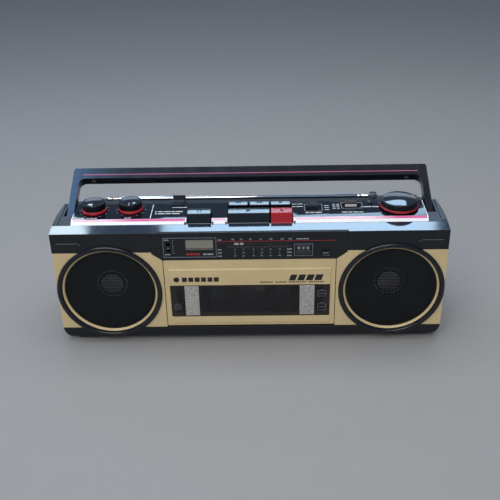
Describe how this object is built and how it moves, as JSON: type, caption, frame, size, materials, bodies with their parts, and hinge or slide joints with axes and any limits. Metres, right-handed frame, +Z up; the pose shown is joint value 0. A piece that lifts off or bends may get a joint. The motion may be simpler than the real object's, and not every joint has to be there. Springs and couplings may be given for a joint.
{
  "type": "cassette player",
  "caption": "Portable stereo radio cassette recorder with two round speakers, front-loading cassette door, top keys and knobs, telescopic antenna and swinging carry handle.",
  "frame": {"origin": "on the surface it stands on, under the middle of its bounding box", "axes": "+X to the right seen from the front, -Y out of the speaker side, +Z up"},
  "size_m": [0.4408, 0.1208, 0.1732],
  "materials": {
    "cream_plastic": "warm cream, fine moulded texture",
    "black_plastic": "satin black, fine moulded texture",
    "black_gloss": "polished black",
    "red_gloss": "polished red",
    "grey_plastic": "satin dark grey",
    "white_plastic": "white",
    "rubber": "dull black",
    "painted_steel": "black paint",
    "steel": "zinc plated",
    "chrome": "polished",
    "circuit_board": "brown laminate",
    "smoked_window": "smoked and clear",
    "clear_window": "clear",
    "display": "grey green liquid crystal behind clear plastic"
  },
  "bodies": {
    "cabinet": {"front_cabinet": "cream_plastic", "front_fascia": "black_plastic", "base_trim": "black_plastic", "rear_cabinet": "black_plastic", "control_panel": "black_gloss", "end_cap_left": "black_plastic", "end_cap_right": "black_plastic", "foot_left": "rubber", "foot_right": "rubber", "speaker_bezel_left": "black_plastic", "speaker_bezel_right": "black_plastic", "speaker_ring_left": "cream_plastic", "speaker_ring_right": "cream_plastic", "speaker_grille_left": "painted_steel", "speaker_grille_right": "painted_steel", "speaker_driver_left": "painted_steel", "speaker_driver_right": "painted_steel", "dial_panel": "black_plastic", "dial_window": "clear_window", "clock_module": "display", "deck_chassis": "steel", "deck_motor": "steel", "drive_belt": "rubber", "key_guide_plate": "steel", "main_circuit_board": "circuit_board", "power_transformer": "steel", "ac_inlet": "black_plastic"},
    "handle": {"handle_frame": "black_plastic"},
    "door": {"cassette_door": "cream_plastic", "door_window": "smoked_window", "cassette_holder": "black_plastic"},
    "battery_lid": {"battery_cover": "black_plastic"},
    "head": {"head_plate": "steel", "tape_head": "chrome"},
    "roller": {"pinch_roller": "rubber"},
    "supply": {"supply_spindle": "black_plastic"},
    "takeup": {"takeup_spindle": "black_plastic"},
    "capstan": {"capstan_flywheel": "steel"},
    "pulley": {"motor_pulley": "steel"},
    "counter": {"counter_wheels": "black_plastic"},
    "pause": {"pause_key": "black_gloss"},
    "play": {"play_key": "black_gloss"},
    "record": {"record_key": "red_gloss"},
    "rewind": {"rewind_key": "black_gloss"},
    "fast_forward": {"fast_forward_key": "black_gloss"},
    "stop_eject": {"stop_eject_key": "black_gloss"},
    "volume": {"volume_knob": "black_gloss"},
    "tone": {"tone_knob": "black_gloss"},
    "tuning": {"tuning_knob": "black_gloss"},
    "pointer": {"dial_pointer": "white_plastic"},
    "function": {"function_switch_knob": "black_gloss"},
    "band": {"band_selector_knob": "black_gloss"},
    "timer": {"timer_switch_knob": "black_plastic"},
    "clock_hour": {"clock_hour_button": "black_plastic"},
    "clock_minute": {"clock_minute_button": "black_plastic"},
    "counter_reset": {"counter_reset_button": "black_plastic"},
    "antenna_foot": {"antenna_base": "grey_plastic"},
    "antenna_outer": {"antenna_outer_tube": "chrome"},
    "antenna_middle": {"antenna_middle_tube": "chrome"},
    "antenna_end": {"antenna_tip": "chrome"}
  },
  "joints": [
    {"name": "handle_swing", "type": "hinge", "parent": "cabinet", "child": "handle", "pos_m": [0, -0.0109, 0.1343], "axis": [1, 0, 0], "range_deg": [0, 62]},
    {"name": "door_open", "type": "hinge", "parent": "cabinet", "child": "door", "pos_m": [0, -0.0533, 0.0246], "axis": [1, 0, 0], "range_deg": [0, 35]},
    {"name": "battery_cover_open", "type": "hinge", "parent": "cabinet", "child": "battery_lid", "pos_m": [0, 0.04371, 0.0108], "axis": [1, 0, 0], "range_deg": [-80, 0]},
    {"name": "pause_key_press", "type": "slide", "parent": "cabinet", "child": "pause", "axis": [0, 0, -1], "range_m": [0, 0.0045], "stiffness_N_per_m": 300, "springref_m": -0.002},
    {"name": "play_key_press", "type": "slide", "parent": "cabinet", "child": "play", "axis": [0, 0, -1], "range_m": [0, 0.0045], "stiffness_N_per_m": 300, "springref_m": -0.002},
    {"name": "record_key_press", "type": "slide", "parent": "cabinet", "child": "record", "axis": [0, 0, -1], "range_m": [0, 0.0045], "stiffness_N_per_m": 300, "springref_m": -0.002},
    {"name": "rewind_key_press", "type": "slide", "parent": "cabinet", "child": "rewind", "axis": [0, 0, -1], "range_m": [0, 0.0045], "stiffness_N_per_m": 300, "springref_m": -0.002},
    {"name": "fast_forward_key_press", "type": "slide", "parent": "cabinet", "child": "fast_forward", "axis": [0, 0, -1], "range_m": [0, 0.0045], "stiffness_N_per_m": 300, "springref_m": -0.002},
    {"name": "stop_eject_key_press", "type": "slide", "parent": "cabinet", "child": "stop_eject", "axis": [0, 0, -1], "range_m": [0, 0.0045], "stiffness_N_per_m": 300, "springref_m": -0.002},
    {"name": "head_slide", "type": "slide", "parent": "cabinet", "child": "head", "axis": [0, 0, -1], "range_m": [0, 0.0045]},
    {"name": "capstan_spin", "type": "hinge", "parent": "cabinet", "child": "capstan", "pos_m": [0.033, -0.0373, 0.086], "axis": [0, 1, 0], "continuous": true},
    {"name": "motor_pulley_spin", "type": "hinge", "parent": "cabinet", "child": "pulley", "pos_m": [-0.062, -0.0293, 0.05], "axis": [0, 1, 0], "continuous": true},
    {"name": "pinch_roller_spin", "type": "hinge", "parent": "head", "child": "roller", "pos_m": [0.0345, -0.0453, 0.0977], "axis": [0, 1, 0], "continuous": true},
    {"name": "supply_spin", "type": "hinge", "parent": "cabinet", "child": "supply", "pos_m": [-0.02125, -0.0453, 0.057], "axis": [0, 1, 0], "continuous": true},
    {"name": "takeup_spin", "type": "hinge", "parent": "cabinet", "child": "takeup", "pos_m": [0.02125, -0.0453, 0.057], "axis": [0, 1, 0], "continuous": true},
    {"name": "counter_spin", "type": "hinge", "parent": "cabinet", "child": "counter", "pos_m": [0.06025, -0.04709, 0.121], "axis": [1, 0, 0], "continuous": true},
    {"name": "volume_turn", "type": "hinge", "parent": "cabinet", "child": "volume", "pos_m": [-0.1765, -0.01189, 0.156], "axis": [0, 0, 1], "range_deg": [-150, 150]},
    {"name": "tone_turn", "type": "hinge", "parent": "cabinet", "child": "tone", "pos_m": [-0.135, -0.01009, 0.156], "axis": [0, 0, 1], "range_deg": [-150, 150]},
    {"name": "tuning_turn", "type": "hinge", "parent": "cabinet", "child": "tuning", "pos_m": [0.17, -0.012, 0.156], "axis": [0, 0, 1], "range_deg": [-234, 38]},
    {"name": "dial_pointer_slide", "type": "slide", "parent": "cabinet", "child": "pointer", "axis": [1, 0, 0], "range_m": [-0.0081, 0.0492]},
    {"name": "function_switch_slide", "type": "slide", "parent": "cabinet", "child": "function", "axis": [1, 0, 0], "range_m": [0, 0.003]},
    {"name": "band_selector_slide", "type": "slide", "parent": "cabinet", "child": "band", "axis": [1, 0, 0], "range_m": [-0.002, 0.005]},
    {"name": "timer_switch_slide", "type": "slide", "parent": "cabinet", "child": "timer", "axis": [0, 0, 1], "range_m": [-0.0035, 0.0035]},
    {"name": "clock_hour_press", "type": "slide", "parent": "cabinet", "child": "clock_hour", "axis": [0, 1, 0], "range_m": [0, 0.0006], "stiffness_N_per_m": 100, "springref_m": -0.001},
    {"name": "clock_minute_press", "type": "slide", "parent": "cabinet", "child": "clock_minute", "axis": [0, 1, 0], "range_m": [0, 0.0006], "stiffness_N_per_m": 100, "springref_m": -0.001},
    {"name": "counter_reset_press", "type": "slide", "parent": "cabinet", "child": "counter_reset", "axis": [0, 1, 0], "range_m": [0, 0.0015], "stiffness_N_per_m": 150, "springref_m": -0.001},
    {"name": "antenna_swivel", "type": "hinge", "parent": "cabinet", "child": "antenna_foot", "pos_m": [0.146, 0.0317, 0.14], "axis": [0, 0, 1], "range_deg": [-120, 0]},
    {"name": "antenna_tilt", "type": "hinge", "parent": "antenna_foot", "child": "antenna_outer", "pos_m": [0.146, 0.0317, 0.1435], "axis": [0, 1, 0], "range_deg": [0, 90]},
    {"name": "antenna_middle_slide", "type": "slide", "parent": "antenna_outer", "child": "antenna_middle", "axis": [-1, 0, 0], "range_m": [0, 0.25]},
    {"name": "antenna_tip_slide", "type": "slide", "parent": "antenna_middle", "child": "antenna_end", "axis": [-1, 0, 0], "range_m": [0, 0.24]}
  ],
  "couplings": [
    {"joint": "head_slide", "follows": "play_key_press", "ratio": 1},
    {"joint": "motor_pulley_spin", "follows": "capstan_spin", "ratio": 6.5},
    {"joint": "pinch_roller_spin", "follows": "capstan_spin", "ratio": -0.20833},
    {"joint": "counter_spin", "follows": "takeup_spin", "ratio": 0.05},
    {"joint": "dial_pointer_slide", "follows": "tuning_turn", "m_per_rad": -0.012}
  ]
}
